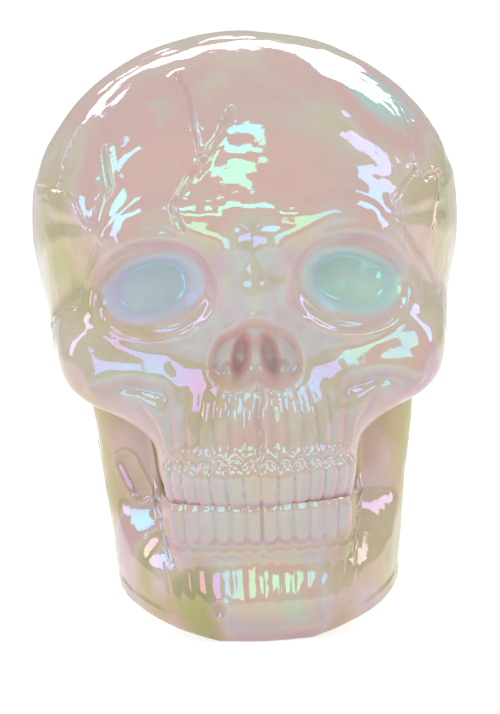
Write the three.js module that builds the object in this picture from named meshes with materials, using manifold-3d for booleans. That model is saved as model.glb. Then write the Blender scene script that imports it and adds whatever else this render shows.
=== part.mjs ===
// Iridescent skull decoration: a hollow skull in two shells with a hinged jaw, on a lighted pedestal.
// Millimetres. The face looks along -Y, +Z is up, the origin is on the table under the skull's middle.
import * as THREE from "three";
import { mergeVertices } from "three/addons/utils/BufferGeometryUtils.js";
import Module from "manifold-3d";

const wasm = await Module();
wasm.setup();

// Shell and fits
const WALL = 2.4;
const GAP = 0.3;
const FAR = 600;
const CLOSE = 1e-4;

// Levels and planes of the skull
const BITE_Z = 51;
const BITE_SLIT = 1.2;
const FLOOR_Z = 70;
const SEAM_Y = 14;
const PALATE_Y = -58;
const PALATE_RUN = 32;

// Bones that make up the skull, blended into one skin: middle, then half-lengths
const BLEND = 6;
const CRANIUM = { x: 0, y: 14, z: 145, side: 77.2, front: 97, back: 82, up: 66.5, down: 78 };
const SKULL_BASE = { x: 0, y: 15, z: 86, side: 44, front: 50, back: 48, up: 24, down: 24 };
const MASTOID = { x: 40, y: 27, z: 80, side: 8, front: 11, back: 12, up: 16, down: 14 };
const MIDFACE = { x: 0, y: -42, z: 114, side: 52, front: 38, back: 40, up: 36, down: 30 };
const BROW = { x: 0, y: -44, z: 147, side: 55, front: 41, back: 40, up: 11, down: 10 };
const NASAL = { x: 0, y: -74, z: 119, side: 7, front: 18, back: 20, up: 22, down: 12 };
const CHEEK = { x: 46, y: -55, z: 94, side: 17, front: 15, back: 17, up: 12, down: 11 };
const ARCH = { x: 56, y: -20, z: 103, side: 13.5, front: 44, back: 44, up: 14, down: 14 };
const CHEEK_ROOT = { x: 31, y: -58, z: 87, side: 12, front: 14, back: 14, up: 9, down: 10 };
const MUZZLE = { x: 0, y: -60, z: 76, side: 31, front: 29, back: 26, up: 24, down: 32 };
const GUM = { x: 0, y: -58, z: 58, side: 32.5, front: 33.5, back: 18, up: 12, down: 30 };

// Relief round each eye: the socket's rim with the shallow band inside it, and the brow's sharp edge
const EYE_X = 34.8;
const EYE_Z = 124.7;
const RIM = { inner: 21.8, outer: 21.8, up: 17.9, down: 17.9, droop: 0.1, high: 1.1, wide: 0.2, deep: 2.2 };
const BROW_EDGE = { inner: 29, outer: 22.7, up: 29.5, down: 29.5, droop: 0, high: 2.6, wide: 0.15, deep: 0 };
const BROW_LOW_Z = 120;
const BROW_FADE = 8;
const FACE_Y = -40;
const FACE_FADE = 6;

// Eye sockets and nose opening, sunk into that skin
const SOCKET_DROOP = 0.24;
const NOSE_SPLAY = -0.16;
const HOLLOW_SQUARE = 4;
const SOCKET = { x: EYE_X, y: -80, z: EYE_Z, side: 18.8, front: 30, back: 26, up: 13.2, down: 13.2 };
const NOSE_LOBE = { x: 7.6, y: -92, z: 96.5, side: 8.6, front: 15, back: 16, up: 11, down: 7 };
const NOSE_TOP = { x: 0, y: -92, z: 103, side: 8.5, front: 15, back: 13, up: 11, down: 10 };
const NOSE_SLOT = { x: 5.3, y: -92, z: 100.5, side: 3.3, front: 15, back: 21, up: 8.6, down: 8.6 };

// Point inside the skull that its skin is measured from, and how far its rays crowd to the face
const CORE_Z = 125;
const CORE = new THREE.Vector3(0, 0, CORE_Z);
const CROWD = 0.45;

// Facets round the turned forms, and steps of the skins
const FACETS_WIDE = 40;
const FACETS_MID = 32;
const FACETS_SMALL = 16;
const OUTER_ROUND = 72;
const OUTER_TALL = 48;
const INNER_ROUND = 40;
const INNER_TALL = 28;
const HOLLOW_ROUND = 16;
const TOOTH_ROUND = 8;
const TOOTH_TALL = 5;
const JAW_STEPS_FRONT = 7;
const JAW_STEPS_BEHIND = 10;
const JAW_ROWS = 10;
const DOME_STEPS = 6;
const WIRE_FACETS = 3;
const WIRE_STEPS = 12;
const TURN_STEPS = 7;

// Teeth
const TEETH = 14;
const TOOTH_SPREAD = 2.44;
const TOOTH_W = 3.9;
const TOOTH_DEEP = 3.4;
const TOOTH_H = 8.6;
const TOOTH_SET = 4.5;
const TOOTH_SINK = 1;

// Jaw: U-shaped skin, half an oval in front and two straight branches behind.
// A share is how far round the U a place lies, from 0 at the chin to 1 at the back of a branch.
const JAW_Z = 1;
const JAW_SIDE = 47.4;
const JAW_FLARE = 0.128;
const JAW_MID_Y = -22;
const JAW_REAR_Y = 7;
const JAW_ARC = 0.72;
const CHIN_Y = -90;
const CHIN_Z = 14;
const CHIN_ROLL = 9;
const FOLD_Z = 28;
const FOLD_IN = 3.5;
const LOWER_GUM_Y = -90.5;
const BRANCH_Y = -52;
const BRANCH_DROP = 26;
const BRANCH_TOP_Z = 71;
const BRANCH_ROUND = 5;
const CONDYLE_Z = 82;
const CONDYLE_DROP = 12;
const ANGLE_Z = 21.5;
const HEEL_RISE = 36;
const CHIN_SHARE = 0.16;
const LEDGE_SHARE = 0.28;
const MOUTH_SHARE = 0.31;
const CORNER_SHARE = 0.335;
const TOOTH_SHARE = 0.335;
const CONDYLE_SHARE = 0.86;

// Pivots
const HINGE_Y = -6;
const HINGE_Z = 73.4;
const PIVOT_PROUD = 0.5;
const BOSS_R = 5.6;
const WASHER_T = 1.2;
const PIVOT_R = 2;
const PIVOT_HEAD_R = 4.6;
const PIVOT_HEAD_T = 2.2;
const PIVOT_GRIP = 10;
const PIVOT_SINK = 0.2;
const EAR_R = 6.6;

// Pedestal
const BASE_Y = 12;
const BASE_R = 32;
const BASE_TAPER = 2.6;
const SHOULDER_W = 2.7;
const FLANGE_LAP = 3.5;
const NECK_WALL = 2.8;
const FOOT_T = 1.6;
const FOOT_W = 7.4;
const FOOT_INSET = 0.6;

// Battery holder and cap
const TUBE_R = 13.2;
const TUBE_WALL = 2;
const CAP_T = 4;
const CAP_SLOT_W = 2.2;
const CAP_SLOT_D = 1.5;
const CONTACT_T = 0.8;
const CONTACT_R = 11.6;
const CELL_R = 5.25;
const CELL_H = 43.5;
const CELL_NUB_R = 1.9;
const CELL_NUB_H = 1;
const CELL_RING = 6.35;
const CELLS = 3;
const SPRING_H = 5;
const SPRING_R = 3;
const SPRING_WIRE = 0.45;
const SPRING_TURNS = 3;
const SCREW_R = 1.4;
const SCREW_HEAD_R = 2.6;
const SCREW_HEAD_T = 1.5;
const SCREW_L = 11;
const SCREW_EDGE = 0.9;
const SCREW_BOSS_R = 4.9;
const HOLDER_SCREWS = 3;

// Lamp board
const BOARD_T = 1.6;
const BOARD_EDGE = 2.1;
const POST_R = 2.8;
const POST_H = 6;
const POST_X = 8;
const LED_R = 2.5;
const LED_H = 7.5;
const LED_RIM = 0.45;
const LED_RIM_H = 1;
const LED_EDGE = 7.5;
const LEDS = 3;
const DOME_SEAT = 1.8;
const DOME_H = 15;
const DOME_WALL = 1.6;

// Switch and wires
const SWITCH_Z = 30;
const SWITCH_W = 14;
const SWITCH_D = 4.5;
const SWITCH_H = 8;
const KNOB_W = 4.4;
const KNOB_H = 3.4;
const KNOB_OUT = 2.6;
const KNOB_TRAVEL = 4;
const LEAD_R = 0.7;
const LEAD_X = 5;

// Heights that follow from the values above
const seatZ = FOOT_T + GAP;
const capTopZ = seatZ + CAP_T;
const cellZ = capTopZ + CONTACT_T + 2 * GAP;
const springZ = cellZ + CELL_H + CELL_NUB_H + GAP;
const topContactZ = springZ + SPRING_H + GAP;
const tubeTopZ = topContactZ + CONTACT_T + GAP + TUBE_WALL;
const boardZ = tubeTopZ + POST_H + GAP;
const shoulderZ = FLOOR_Z - GAP;
const flangeZ = FLOOR_Z + WALL + GAP;
const domeZ = flangeZ + WALL + GAP;

// Rings that follow from the pedestal's radius
const baseTopR = BASE_R - BASE_TAPER;
const floorHoleR = baseTopR - SHOULDER_W;
const neckBoreR = floorHoleR - GAP - NECK_WALL;
const boardR = neckBoreR - BOARD_EDGE;
const ledRing = boardR - LED_EDGE;
const domeR = neckBoreR + DOME_SEAT;
const plateR = BASE_R - WALL - 2 * GAP;
const screwRing = plateR - SCREW_HEAD_R - GAP - SCREW_EDGE;
const footOut = BASE_R - FOOT_INSET;
const footIn = footOut - FOOT_W;

// Closed three.js surface to a solid that can be joined and cut, and back
function solid(geometry) {
  const plain = geometry.clone();
  plain.deleteAttribute("normal");
  plain.deleteAttribute("uv");
  const merged = mergeVertices(plain, CLOSE);
  const triVerts = new Uint32Array(merged.index.array);
  const vertProperties = new Float32Array(merged.attributes.position.array);
  return new wasm.Manifold(new wasm.Mesh({ numProp: 3, vertProperties, triVerts }));
}

function surface(body) {
  const mesh = body.getMesh();
  const geometry = new THREE.BufferGeometry();
  geometry.setAttribute("position", new THREE.BufferAttribute(new Float32Array(mesh.vertProperties), 3));
  geometry.setIndex(new THREE.BufferAttribute(new Uint32Array(mesh.triVerts), 1));
  geometry.computeVertexNormals();
  return geometry;
}

function join(bodies) {
  return bodies.reduce((all, body) => all.add(body));
}

function box(sizeX, sizeY, sizeZ, x, y, z) {
  return solid(new THREE.BoxGeometry(sizeX, sizeY, sizeZ).translate(x, y, z));
}

// Turned form about +Z from a profile of radius and height
function turned(profile, round) {
  const points = profile.map(([r, z]) => new THREE.Vector2(r, z));
  return new THREE.LatheGeometry(points, round).rotateX(Math.PI / 2);
}

function rod(radius, length, round) {
  return turned([[0, 0], [radius, 0], [radius, length], [0, length]], round);
}

// Quarter of an oval from its rim up to the axis
function quarter(radius, rise, z, steps) {
  const points = [];
  for (let i = 0; i <= steps; i++) {
    const turn = (i / steps) * (Math.PI / 2);
    points.push([radius * Math.cos(turn), z + rise * Math.sin(turn)]);
  }
  return points;
}

// Place on a ring of evenly spaced things
function ringAt(radius, count, index) {
  const turn = Math.PI / 2 + (index * 2 * Math.PI) / count;
  return new THREE.Vector3(radius * Math.cos(turn), radius * Math.sin(turn), 0);
}

// Tooth standing on an oval arch, turned to face outward
function tooth(turn, side, front, midY, z) {
  const geometry = new THREE.SphereGeometry(1, TOOTH_ROUND, TOOTH_TALL).rotateX(Math.PI / 2);
  geometry.scale(TOOTH_W, TOOTH_DEEP, TOOTH_H);
  geometry.rotateZ(Math.atan2(front * Math.sin(turn), side * Math.cos(turn)));
  return geometry.translate(side * Math.sin(turn), midY - front * Math.cos(turn), z);
}

function toothTurn(index) {
  return ((index + 0.5) / TEETH - 0.5) * TOOTH_SPREAD;
}

// Distance of a point from an egg-shaped form, negative inside
function eggDistance(form, side, p) {
  const dx = p.x - side * form.x;
  const dy = p.y - form.y;
  const dz = p.z - form.z;
  const deep = dy < 0 ? form.front : form.back;
  const tall = dz > 0 ? form.up : form.down;
  const near = Math.hypot(dx / form.side, dy / deep, dz / tall);
  const slope = Math.hypot(dx / form.side ** 2, dy / deep ** 2, dz / tall ** 2);
  return (near * (near - 1)) / slope;
}

function sides(form) {
  return form.x ? [-1, 1] : [1];
}

// How far out a point is from an eye's middle, as a share of an oval round that eye
function ovalShare(oval, side, p) {
  const dx = side * p.x - EYE_X;
  const dz = p.z - EYE_Z;
  const across = dx * Math.cos(oval.droop) - dz * Math.sin(oval.droop);
  const along = dz * Math.cos(oval.droop) + dx * Math.sin(oval.droop);
  return Math.hypot(across / (across < 0 ? oval.inner : oval.outer), along / (along < 0 ? oval.down : oval.up));
}

// Raised edge on an oval, and the shallow band inside it
function ovalRelief(oval, side, p) {
  const share = ovalShare(oval, side, p);
  const edge = oval.high * Math.exp(-(((share - 1) / oval.wide) ** 2));
  return edge - oval.deep * (1 - THREE.MathUtils.smoothstep(share, 1 - oval.wide, 1));
}

// Height of the relief round the eyes
function eyeRelief(p) {
  const facing = THREE.MathUtils.smoothstep(FACE_Y - p.y, -FACE_FADE, 0);
  if (!facing) return 0;
  const high = THREE.MathUtils.smoothstep(p.z, BROW_LOW_Z, BROW_LOW_Z + BROW_FADE);
  let relief = 0;
  for (const side of [-1, 1]) relief += ovalRelief(RIM, side, p) + high * ovalRelief(BROW_EDGE, side, p);
  return facing * relief;
}

// Distance of a point from the blended skin, cut flat underneath
function skinDistance(p) {
  const bones = [CRANIUM, SKULL_BASE, MASTOID, MIDFACE, BROW, NASAL, CHEEK, CHEEK_ROOT, ARCH, MUZZLE, GUM];
  let nearness = 0;
  for (const bone of bones) {
    for (const side of sides(bone)) nearness += Math.exp(-eggDistance(bone, side, p) / BLEND);
  }
  const rise = THREE.MathUtils.smoothstep(p.y, PALATE_Y - PALATE_RUN / 2, PALATE_Y + PALATE_RUN / 2);
  const skin = -BLEND * Math.log(nearness) - eyeRelief(p);
  return Math.max(skin, THREE.MathUtils.lerp(BITE_Z, FLOOR_Z, rise) - p.z);
}

// Half-width of the skull where the pivots' bosses come out of it
function hingeReach() {
  const p = new THREE.Vector3();
  let reach = 0;
  for (let i = 0; i < FACETS_SMALL; i++) {
    const turn = (i * 2 * Math.PI) / FACETS_SMALL;
    p.set(reach, HINGE_Y + BOSS_R * Math.cos(turn), HINGE_Z + BOSS_R * Math.sin(turn));
    while (p.z > FLOOR_Z && skinDistance(p) < 0) p.x += GAP;
    reach = p.x;
  }
  return reach;
}

const hingeX = hingeReach() + PIVOT_PROUD;
const screwHeadX = JAW_SIDE + JAW_FLARE * (HINGE_Z - PIVOT_HEAD_R) - PIVOT_SINK - PIVOT_HEAD_T;

// Squared egg-shaped cut for a socket or a part of the nose, grown evenly
function hollow(form, side, droop, grow) {
  const geometry = new THREE.SphereGeometry(1, HOLLOW_ROUND, HOLLOW_ROUND / 2).rotateX(Math.PI / 2);
  const p = geometry.attributes.position;
  const at = new THREE.Vector3();
  for (let i = 0; i < p.count; i++) {
    at.fromBufferAttribute(p, i);
    const flat = Math.hypot(at.x, at.z) ** HOLLOW_SQUARE;
    at.divideScalar((flat + Math.abs(at.y) ** HOLLOW_SQUARE) ** (1 / HOLLOW_SQUARE));
    const deep = at.y < 0 ? form.front : form.back;
    const tall = at.z > 0 ? form.up : form.down;
    p.setXYZ(i, at.x * (form.side + grow), at.y * (deep + grow), at.z * (tall + grow));
  }
  geometry.rotateY(side * droop);
  return solid(geometry.translate(side * form.x, form.y, form.z));
}

function hollows(grow) {
  const cuts = [hollow(NOSE_TOP, 1, 0, grow)];
  for (const side of [-1, 1]) {
    cuts.push(hollow(NOSE_LOBE, side, 0, grow));
    cuts.push(hollow(NOSE_SLOT, side, NOSE_SPLAY, grow));
    cuts.push(hollow(SOCKET, side, SOCKET_DROOP, grow));
  }
  return join(cuts);
}

// Faces of a globe of points, each four cut along the diagonal that lies closer to the skin
function globeFaces(p, inset, round, tall) {
  const index = [];
  const ends = [new THREE.Vector3(), new THREE.Vector3()];
  const off = (from, to) => {
    ends[0].fromBufferAttribute(p, from);
    ends[1].fromBufferAttribute(p, to);
    return Math.abs(skinDistance(ends[0].lerp(ends[1], 0.5)) + inset);
  };
  for (let row = 0; row < tall; row++) {
    for (let column = 0; column < round; column++) {
      const a = row * (round + 1) + column;
      const b = a + 1;
      const c = a + round + 1;
      const d = c + 1;
      if (row === 0) index.push(a, c, d);
      else if (row === tall - 1) index.push(b, a, d);
      else if (off(a, d) <= off(b, c)) index.push(b, a, d, a, c, d);
      else index.push(b, a, c, b, c, d);
    }
  }
  return index;
}

// Skin at an even depth, as a globe of rays from the core, closest together over the face
function skullSkin(inset, round, tall) {
  const geometry = new THREE.SphereGeometry(1, round, tall);
  const p = geometry.attributes.position;
  const ray = new THREE.Vector3();
  const point = new THREE.Vector3();
  for (let i = 0; i < p.count; i++) {
    ray.fromBufferAttribute(p, i);
    const share = Math.acos(THREE.MathUtils.clamp(-ray.y, -1, 1)) / Math.PI;
    const polar = Math.PI * ((1 - CROWD) * share + CROWD * share ** 2);
    const flat = Math.hypot(ray.x, ray.z) || 1;
    ray.set((ray.x / flat) * Math.sin(polar), -Math.cos(polar), (ray.z / flat) * Math.sin(polar));
    let low = 0;
    let high = WALL;
    while (skinDistance(point.copy(CORE).addScaledVector(ray, high)) < -inset) {
      low = high;
      high += WALL;
    }
    while (high - low > CLOSE) {
      const middle = (low + high) / 2;
      if (skinDistance(point.copy(CORE).addScaledVector(ray, middle)) < -inset) low = middle;
      else high = middle;
    }
    point.copy(CORE).addScaledVector(ray, low);
    p.setXYZ(i, point.x, point.y, point.z);
  }
  geometry.setIndex(globeFaces(p, inset, round, tall));
  return geometry;
}

function skullShell() {
  const below = box(FAR, FAR, FAR, 0, 0, BITE_Z - FAR / 2);
  const teeth = [];
  for (let i = 0; i < TEETH; i++) {
    const side = GUM.side + TOOTH_SINK;
    const front = GUM.front + TOOTH_SINK;
    const shape = tooth(toothTurn(i), side, front, GUM.y, BITE_Z + TOOTH_SET);
    teeth.push(solid(shape).subtract(below));
  }
  const outer = solid(skullSkin(0, OUTER_ROUND, OUTER_TALL)).add(join(teeth)).subtract(hollows(0));
  const inner = solid(skullSkin(WALL, INNER_ROUND, INNER_TALL)).subtract(hollows(WALL));
  const holeZ = FLOOR_Z - WALL;
  const seatBottomZ = FLOOR_Z + WALL;
  const clearZ = domeZ + WALL;
  const seatR = floorHoleR + FLANGE_LAP + GAP;
  const hole = rod(floorHoleR, clearZ - holeZ, FACETS_WIDE).translate(0, BASE_Y, holeZ);
  const seat = rod(seatR, clearZ - seatBottomZ, FACETS_WIDE).translate(0, BASE_Y, seatBottomZ);
  return outer.subtract(inner).subtract(solid(hole)).subtract(solid(seat));
}

// Bosses inside the skull that take the pivot screws
function pivotBosses(shell) {
  return [-1, 1].reduce((body, side) => {
    const boss = rod(BOSS_R, PIVOT_GRIP + WALL, FACETS_SMALL).rotateY((side * Math.PI) / 2);
    const bore = rod(PIVOT_R + GAP, PIVOT_GRIP + GAP, FACETS_SMALL).rotateY((side * Math.PI) / 2);
    boss.translate(side * (hingeX - PIVOT_GRIP - WALL), HINGE_Y, HINGE_Z);
    bore.translate(side * (hingeX - PIVOT_GRIP), HINGE_Y, HINGE_Z);
    return body.add(solid(boss)).subtract(solid(bore));
  }, shell);
}

// Jaw skin: its profile down the front, its upper and lower edges and any point on it
const jawLip = BITE_Z - BITE_SLIT;

function jawFront(z) {
  if (z < CHIN_Z) return CHIN_Y + CHIN_ROLL * ((CHIN_Z - z) / (CHIN_Z - JAW_Z)) ** 2;
  if (z < FOLD_Z) return CHIN_Y + FOLD_IN * THREE.MathUtils.smoothstep(z, CHIN_Z, FOLD_Z);
  return THREE.MathUtils.lerp(CHIN_Y + FOLD_IN, LOWER_GUM_Y, THREE.MathUtils.smoothstep(z, FOLD_Z, jawLip));
}

function jawTop(share) {
  if (share <= MOUTH_SHARE) return jawLip;
  const heel = Math.max(share - CONDYLE_SHARE, 0) / (1 - CONDYLE_SHARE);
  if (heel > 0) return CONDYLE_Z - CONDYLE_DROP * heel ** 2;
  const left = (CONDYLE_SHARE - share) / (CONDYLE_SHARE - CORNER_SHARE);
  return THREE.MathUtils.lerp(CONDYLE_Z, BRANCH_TOP_Z, left ** BRANCH_ROUND);
}

function jawUnder(share) {
  const along = Math.max(share - CHIN_SHARE, 0) / (CONDYLE_SHARE - CHIN_SHARE);
  const heel = Math.max(share - CONDYLE_SHARE, 0) / (1 - CONDYLE_SHARE);
  return JAW_Z + (ANGLE_Z - JAW_Z) * along + HEEL_RISE * heel ** 2;
}

function jawPoint(share, z, inset) {
  const around = Math.abs(share);
  const wide = JAW_SIDE + JAW_FLARE * z - inset;
  const lift = THREE.MathUtils.smoothstep(z, jawLip - BRANCH_DROP, jawLip);
  const corner = THREE.MathUtils.smoothstep(around, LEDGE_SHARE, MOUTH_SHARE);
  const deep = JAW_MID_Y - THREE.MathUtils.lerp(jawFront(z), BRANCH_Y, lift * corner) - inset;
  const turn = Math.min(around / JAW_ARC, 1) * (Math.PI / 2);
  const behind = Math.max(around - JAW_ARC, 0) / (1 - JAW_ARC);
  const y = JAW_MID_Y - deep * Math.cos(turn) + behind * (JAW_REAR_Y - JAW_MID_Y);
  return [Math.sign(share) * wide * Math.sin(turn), y, z];
}

// Closed sheet over a grid: an outer skin, an inner skin and the edges between them
function jawSheet(front, behind, rows) {
  const half = [];
  for (let i = 0; i <= front; i++) half.push((MOUTH_SHARE * i) / front);
  for (let i = 0; i <= behind; i++) half.push(CORNER_SHARE + ((1 - CORNER_SHARE) * i) / behind);
  const shares = [...half.slice(1).map((share) => -share).reverse(), ...half];
  const columns = shares.length - 1;
  const points = [];
  for (const inset of [0, WALL]) {
    for (const share of shares) {
      const low = jawUnder(Math.abs(share));
      const high = jawTop(Math.abs(share));
      for (let r = 0; r <= rows; r++) {
        const z = THREE.MathUtils.lerp(low, high, r / rows);
        points.push(...jawPoint(share, z, inset));
      }
    }
  }
  const skin = (columns + 1) * (rows + 1);
  const at = (c, r, layer) => layer * skin + c * (rows + 1) + r;
  const index = [];
  const quad = (a, b, c, d) => index.push(a, b, c, a, c, d);
  for (let c = 0; c < columns; c++) {
    for (let r = 0; r < rows; r++) {
      quad(at(c, r, 0), at(c + 1, r, 0), at(c + 1, r + 1, 0), at(c, r + 1, 0));
      quad(at(c, r, 1), at(c, r + 1, 1), at(c + 1, r + 1, 1), at(c + 1, r, 1));
    }
    quad(at(c, 0, 0), at(c, 0, 1), at(c + 1, 0, 1), at(c + 1, 0, 0));
    quad(at(c, rows, 0), at(c + 1, rows, 0), at(c + 1, rows, 1), at(c, rows, 1));
  }
  for (let r = 0; r < rows; r++) {
    quad(at(0, r, 0), at(0, r + 1, 0), at(0, r + 1, 1), at(0, r, 1));
    quad(at(columns, r, 0), at(columns, r, 1), at(columns, r + 1, 1), at(columns, r + 1, 0));
  }
  const geometry = new THREE.BufferGeometry();
  geometry.setAttribute("position", new THREE.Float32BufferAttribute(points, 3));
  geometry.setIndex(index);
  return geometry;
}

function jawBody() {
  const side = JAW_SIDE + JAW_FLARE * jawLip;
  const above = box(FAR, FAR, FAR, 0, 0, jawLip + FAR / 2);
  let body = solid(jawSheet(JAW_STEPS_FRONT, JAW_STEPS_BEHIND, JAW_ROWS));
  for (let i = 0; i < TEETH; i++) {
    const share = (2 * TOOTH_SHARE * toothTurn(i)) / TOOTH_SPREAD;
    const turn = (share / JAW_ARC) * (Math.PI / 2);
    const deep = JAW_MID_Y - LOWER_GUM_Y - TOOTH_SINK;
    const shape = tooth(turn, side - TOOTH_SINK, deep, JAW_MID_Y, jawLip - TOOTH_SET);
    body = body.add(solid(shape).subtract(above));
  }
  const outX = JAW_SIDE + JAW_FLARE * HINGE_Z;
  const inX = hingeX + WASHER_T + 2 * GAP;
  for (const hand of [-1, 1]) {
    const ear = rod(EAR_R, outX - inX - WALL / 2, FACETS_SMALL).rotateY((hand * Math.PI) / 2);
    const bore = rod(PIVOT_R + GAP, outX, FACETS_SMALL).rotateY((hand * Math.PI) / 2);
    const sink = rod(PIVOT_HEAD_R + GAP, outX, FACETS_SMALL).rotateY((hand * Math.PI) / 2);
    ear.translate(hand * inX, HINGE_Y, HINGE_Z);
    bore.translate(hand * hingeX, HINGE_Y, HINGE_Z);
    sink.translate(hand * (screwHeadX - GAP), HINGE_Y, HINGE_Z);
    body = body.add(solid(ear)).subtract(solid(bore)).subtract(solid(sink));
  }
  return body;
}

// Pedestal: tapered cup with a neck that the skull's floor clips round
function baseHousing() {
  const neckR = floorHoleR - GAP;
  const cup = solid(turned([
    [BASE_R - WALL, seatZ],
    [BASE_R, seatZ],
    [baseTopR, shoulderZ],
    [neckR, shoulderZ],
    [neckR, flangeZ],
    [floorHoleR + FLANGE_LAP, flangeZ],
    [floorHoleR + FLANGE_LAP, flangeZ + WALL],
    [neckBoreR, flangeZ + WALL],
    [neckBoreR, shoulderZ - WALL],
    [baseTopR - WALL, shoulderZ - 2 * WALL],
    [BASE_R - WALL, seatZ],
  ], FACETS_WIDE));
  const bossZ = seatZ + WALL + GAP;
  let body = cup;
  for (let i = 0; i < HOLDER_SCREWS; i++) {
    const at = ringAt(screwRing, HOLDER_SCREWS, i + 0.5);
    const boss = rod(SCREW_BOSS_R, SCREW_L + WALL, FACETS_SMALL).translate(at.x, at.y, bossZ);
    const bore = rod(SCREW_R + GAP, SCREW_L, FACETS_SMALL).translate(at.x, at.y, bossZ);
    const lowR = BASE_R - WALL / 2;
    const highR = baseTopR - WALL / 2;
    const inside = turned([[0, 0], [lowR, 0], [highR, FLOOR_Z], [0, FLOOR_Z]], FACETS_WIDE);
    body = body.add(solid(boss).intersect(solid(inside))).subtract(solid(bore));
  }
  const slotW = KNOB_W + KNOB_TRAVEL + 2 * GAP;
  return body.subtract(box(slotW, BASE_R, KNOB_H + 2 * GAP, 0, BASE_R, SWITCH_Z));
}

function batteryHolder() {
  const tubeOut = TUBE_R + TUBE_WALL;
  let body = solid(turned([
    [0, tubeTopZ - TUBE_WALL],
    [TUBE_R, tubeTopZ - TUBE_WALL],
    [TUBE_R, seatZ],
    [plateR, seatZ],
    [plateR, seatZ + WALL],
    [tubeOut, seatZ + WALL],
    [tubeOut, tubeTopZ],
    [0, tubeTopZ],
  ], FACETS_WIDE));
  for (let i = 0; i < HOLDER_SCREWS; i++) {
    const at = ringAt(screwRing, HOLDER_SCREWS, i + 0.5);
    const hole = rod(SCREW_R + GAP, FAR, FACETS_SMALL).translate(at.x, at.y, -FAR / 2);
    const sink = rod(SCREW_HEAD_R + GAP, SCREW_HEAD_T + GAP, FACETS_SMALL);
    sink.translate(at.x, at.y, seatZ - GAP);
    body = body.subtract(solid(hole)).subtract(solid(sink));
  }
  for (const x of [-POST_X, POST_X]) {
    const post = rod(POST_R, POST_H + TUBE_WALL / 2, FACETS_SMALL);
    post.translate(x, 0, tubeTopZ - TUBE_WALL / 2);
    const bore = rod(SCREW_R + GAP, POST_H, FACETS_SMALL).translate(x, 0, tubeTopZ + GAP);
    body = body.add(solid(post)).subtract(solid(bore));
  }
  return body;
}

function batteryCap() {
  const disc = solid(rod(TUBE_R - GAP, CAP_T, FACETS_MID));
  return disc.subtract(box(TUBE_R, CAP_SLOT_W, CAP_SLOT_D * 2, 0, 0, 0));
}

function ledBoard() {
  let body = solid(rod(boardR, BOARD_T, FACETS_MID));
  for (const x of [-POST_X, POST_X]) {
    body = body.subtract(solid(rod(SCREW_R + GAP, FAR, FACETS_SMALL).translate(x, 0, -FAR / 2)));
  }
  return body;
}

// Wire swept along a smooth path
class Coil extends THREE.Curve {
  getPoint(share, target = new THREE.Vector3()) {
    const turn = share * SPRING_TURNS * 2 * Math.PI;
    const rise = SPRING_H - 2 * SPRING_WIRE;
    return target.set(SPRING_R * Math.cos(turn), SPRING_R * Math.sin(turn), SPRING_WIRE + rise * share);
  }
}

function wire(path, radius, steps) {
  const section = new THREE.Shape().absarc(0, 0, radius, 0, 2 * Math.PI);
  const along = { steps, extrudePath: path, curveSegments: WIRE_FACETS, bevelEnabled: false };
  return new THREE.ExtrudeGeometry(section, along);
}

function screwForm(headR, headT, radius, length) {
  const top = length + headT;
  const profile = [[0, 0], [radius, 0], [radius, length], [headR, length], [headR, top], [0, top]];
  return turned(profile, FACETS_SMALL);
}

// Materials
const pearl = new THREE.MeshStandardMaterial({ color: 0xd2c4b6, roughness: 0.22, metalness: 0.15 });
const pearlDark = new THREE.MeshStandardMaterial({ color: 0xbfb49a, roughness: 0.22, metalness: 0.15 });
const charcoal = new THREE.MeshStandardMaterial({ color: 0x2b2b2e, roughness: 0.5 });
const steel = new THREE.MeshStandardMaterial({ color: 0xb8bcc0, roughness: 0.3, metalness: 0.9 });
const rubber = new THREE.MeshStandardMaterial({ color: 0x1c1c1c, roughness: 0.9 });
const boardGreen = new THREE.MeshStandardMaterial({ color: 0x245c38, roughness: 0.5 });
const frosted = new THREE.MeshStandardMaterial({ color: 0xf2f2ee, roughness: 0.6 });
const lens = new THREE.MeshStandardMaterial({ color: 0xf6efe0, roughness: 0.2 });
const cellWrap = new THREE.MeshStandardMaterial({ color: 0x4a5058, roughness: 0.4 });
const red = new THREE.MeshStandardMaterial({ color: 0xa32020, roughness: 0.6 });
const black = new THREE.MeshStandardMaterial({ color: 0x161616, roughness: 0.6 });

// Assembly
const group = new THREE.Group();
group.name = "skull_decoration";
const pedestal = new THREE.Group();
pedestal.position.y = BASE_Y;
group.add(pedestal);

function place(parent, name, geometry, material, x, y, z) {
  const mesh = new THREE.Mesh(geometry, material);
  mesh.name = name;
  mesh.position.set(x, y, z);
  parent.add(mesh);
  return mesh;
}

const shell = skullShell();
const ahead = box(FAR, FAR, FAR, 0, SEAM_Y - GAP / 2 - FAR / 2, 0);
const astern = box(FAR, FAR, FAR, 0, SEAM_Y + GAP / 2 + FAR / 2, 0);
place(group, "face_shell", surface(pivotBosses(shell.intersect(ahead))), pearl, 0, 0, 0);
place(group, "back_shell", surface(shell.intersect(astern)), pearl, 0, 0, 0);
place(group, "jaw", surface(jawBody()), pearlDark, 0, 0, 0);

for (const [hand, label] of [[-1, "left"], [1, "right"]]) {
  const shank = screwHeadX - hingeX + PIVOT_GRIP - GAP;
  const tipX = hand * (screwHeadX - shank);
  const form = screwForm(PIVOT_HEAD_R, PIVOT_HEAD_T, PIVOT_R, shank);
  const screw = place(group, `pivot_screw_${label}`, form, steel, tipX, HINGE_Y, HINGE_Z);
  screw.rotation.y = (hand * Math.PI) / 2;
  const inR = PIVOT_R + GAP;
  const flat = turned([[inR, 0], [BOSS_R, 0], [BOSS_R, WASHER_T], [inR, WASHER_T], [inR, 0]], FACETS_SMALL);
  const washerX = hand * (hingeX + GAP);
  const washer = place(group, `pivot_washer_${label}`, flat, rubber, washerX, HINGE_Y, HINGE_Z);
  washer.rotation.y = screw.rotation.y;
}

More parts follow.
